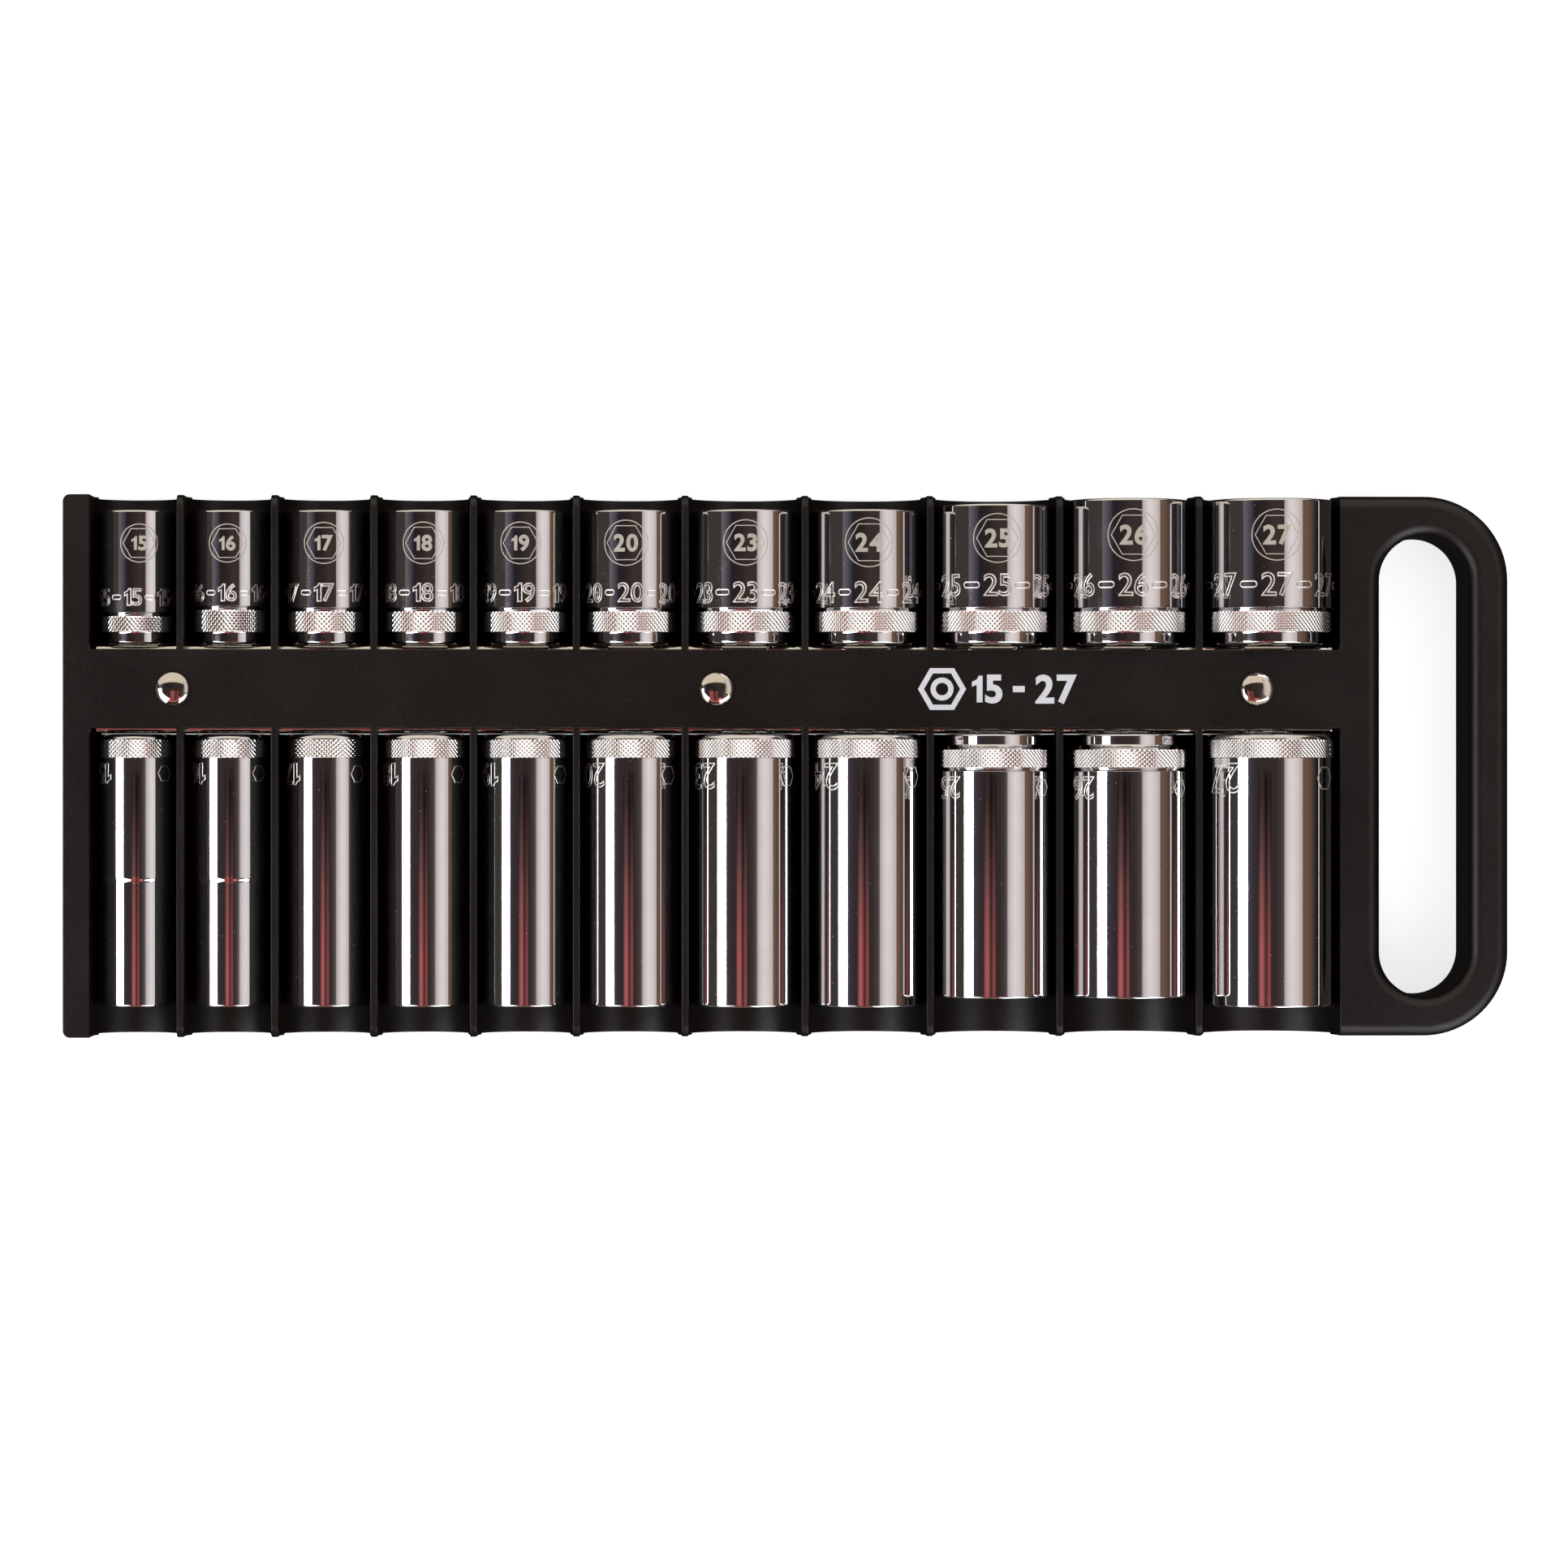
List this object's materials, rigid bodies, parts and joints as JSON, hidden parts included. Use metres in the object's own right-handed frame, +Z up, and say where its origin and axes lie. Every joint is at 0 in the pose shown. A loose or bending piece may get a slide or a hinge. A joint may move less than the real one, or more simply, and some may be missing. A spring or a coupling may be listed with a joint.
{
  "type": "magnetic socket rail",
  "caption": "Moulded tray with a magnetic spine and a carrying handle, holding a row of short and a row of deep drive sockets in U-shaped troughs.",
  "frame": {"origin": "centre of the footprint, on the surface that the rail lies on", "axes": "+X along the spine towards the handle, +Y across the rail towards the short sockets, +Z up out of the troughs"},
  "size_m": [0.4112, 0.154, 0.0395],
  "materials": {
    "black_plastic": "fine spark-eroded texture, satin",
    "polished_chrome": "mirror polished",
    "nickel_plate": "bright nickel plate",
    "ferrite": "matt, as pressed"
  },
  "bodies": {
    "rail": {"tray": "black_plastic", "pole_bar_back": "nickel_plate", "pole_bar_front": "nickel_plate", "base_strip": "black_plastic", "magnet_1": "ferrite", "magnet_2": "ferrite", "magnet_3": "ferrite", "magnet_4": "ferrite", "magnet_5": "ferrite", "magnet_6": "ferrite", "magnet_7": "ferrite", "magnet_8": "ferrite", "rivet_1": "nickel_plate", "rivet_2": "nickel_plate", "rivet_3": "nickel_plate"},
    "short_socket_15": {"short_socket_15": "polished_chrome"},
    "short_socket_16": {"short_socket_16": "polished_chrome"},
    "short_socket_17": {"short_socket_17": "polished_chrome"},
    "short_socket_18": {"short_socket_18": "polished_chrome"},
    "short_socket_19": {"short_socket_19": "polished_chrome"},
    "short_socket_20": {"short_socket_20": "polished_chrome"},
    "short_socket_23": {"short_socket_23": "polished_chrome"},
    "short_socket_24": {"short_socket_24": "polished_chrome"},
    "short_socket_25": {"short_socket_25": "polished_chrome"},
    "short_socket_26": {"short_socket_26": "polished_chrome"},
    "short_socket_27": {"short_socket_27": "polished_chrome"},
    "deep_socket_15": {"deep_socket_15": "polished_chrome"},
    "deep_socket_16": {"deep_socket_16": "polished_chrome"},
    "deep_socket_17": {"deep_socket_17": "polished_chrome"},
    "deep_socket_18": {"deep_socket_18": "polished_chrome"},
    "deep_socket_19": {"deep_socket_19": "polished_chrome"},
    "deep_socket_20": {"deep_socket_20": "polished_chrome"},
    "deep_socket_23": {"deep_socket_23": "polished_chrome"},
    "deep_socket_24": {"deep_socket_24": "polished_chrome"},
    "deep_socket_25": {"deep_socket_25": "polished_chrome"},
    "deep_socket_26": {"deep_socket_26": "polished_chrome"},
    "deep_socket_27": {"deep_socket_27": "polished_chrome"}
  },
  "joints": [
    {"name": "short_socket_15_lift", "type": "slide", "parent": "rail", "child": "short_socket_15", "axis": [0, 0, 1], "range_m": [0, 0.045]},
    {"name": "short_socket_16_lift", "type": "slide", "parent": "rail", "child": "short_socket_16", "axis": [0, 0, 1], "range_m": [0, 0.045]},
    {"name": "short_socket_17_lift", "type": "slide", "parent": "rail", "child": "short_socket_17", "axis": [0, 0, 1], "range_m": [0, 0.045]},
    {"name": "short_socket_18_lift", "type": "slide", "parent": "rail", "child": "short_socket_18", "axis": [0, 0, 1], "range_m": [0, 0.045]},
    {"name": "short_socket_19_lift", "type": "slide", "parent": "rail", "child": "short_socket_19", "axis": [0, 0, 1], "range_m": [0, 0.045]},
    {"name": "short_socket_20_lift", "type": "slide", "parent": "rail", "child": "short_socket_20", "axis": [0, 0, 1], "range_m": [0, 0.045]},
    {"name": "short_socket_23_lift", "type": "slide", "parent": "rail", "child": "short_socket_23", "axis": [0, 0, 1], "range_m": [0, 0.045]},
    {"name": "short_socket_24_lift", "type": "slide", "parent": "rail", "child": "short_socket_24", "axis": [0, 0, 1], "range_m": [0, 0.045]},
    {"name": "short_socket_25_lift", "type": "slide", "parent": "rail", "child": "short_socket_25", "axis": [0, 0, 1], "range_m": [0, 0.045]},
    {"name": "short_socket_26_lift", "type": "slide", "parent": "rail", "child": "short_socket_26", "axis": [0, 0, 1], "range_m": [0, 0.045]},
    {"name": "short_socket_27_lift", "type": "slide", "parent": "rail", "child": "short_socket_27", "axis": [0, 0, 1], "range_m": [0, 0.045]},
    {"name": "deep_socket_15_lift", "type": "slide", "parent": "rail", "child": "deep_socket_15", "axis": [0, 0, 1], "range_m": [0, 0.045]},
    {"name": "deep_socket_16_lift", "type": "slide", "parent": "rail", "child": "deep_socket_16", "axis": [0, 0, 1], "range_m": [0, 0.045]},
    {"name": "deep_socket_17_lift", "type": "slide", "parent": "rail", "child": "deep_socket_17", "axis": [0, 0, 1], "range_m": [0, 0.045]},
    {"name": "deep_socket_18_lift", "type": "slide", "parent": "rail", "child": "deep_socket_18", "axis": [0, 0, 1], "range_m": [0, 0.045]},
    {"name": "deep_socket_19_lift", "type": "slide", "parent": "rail", "child": "deep_socket_19", "axis": [0, 0, 1], "range_m": [0, 0.045]},
    {"name": "deep_socket_20_lift", "type": "slide", "parent": "rail", "child": "deep_socket_20", "axis": [0, 0, 1], "range_m": [0, 0.045]},
    {"name": "deep_socket_23_lift", "type": "slide", "parent": "rail", "child": "deep_socket_23", "axis": [0, 0, 1], "range_m": [0, 0.045]},
    {"name": "deep_socket_24_lift", "type": "slide", "parent": "rail", "child": "deep_socket_24", "axis": [0, 0, 1], "range_m": [0, 0.045]},
    {"name": "deep_socket_25_lift", "type": "slide", "parent": "rail", "child": "deep_socket_25", "axis": [0, 0, 1], "range_m": [0, 0.045]},
    {"name": "deep_socket_26_lift", "type": "slide", "parent": "rail", "child": "deep_socket_26", "axis": [0, 0, 1], "range_m": [0, 0.045]},
    {"name": "deep_socket_27_lift", "type": "slide", "parent": "rail", "child": "deep_socket_27", "axis": [0, 0, 1], "range_m": [0, 0.045]}
  ]
}
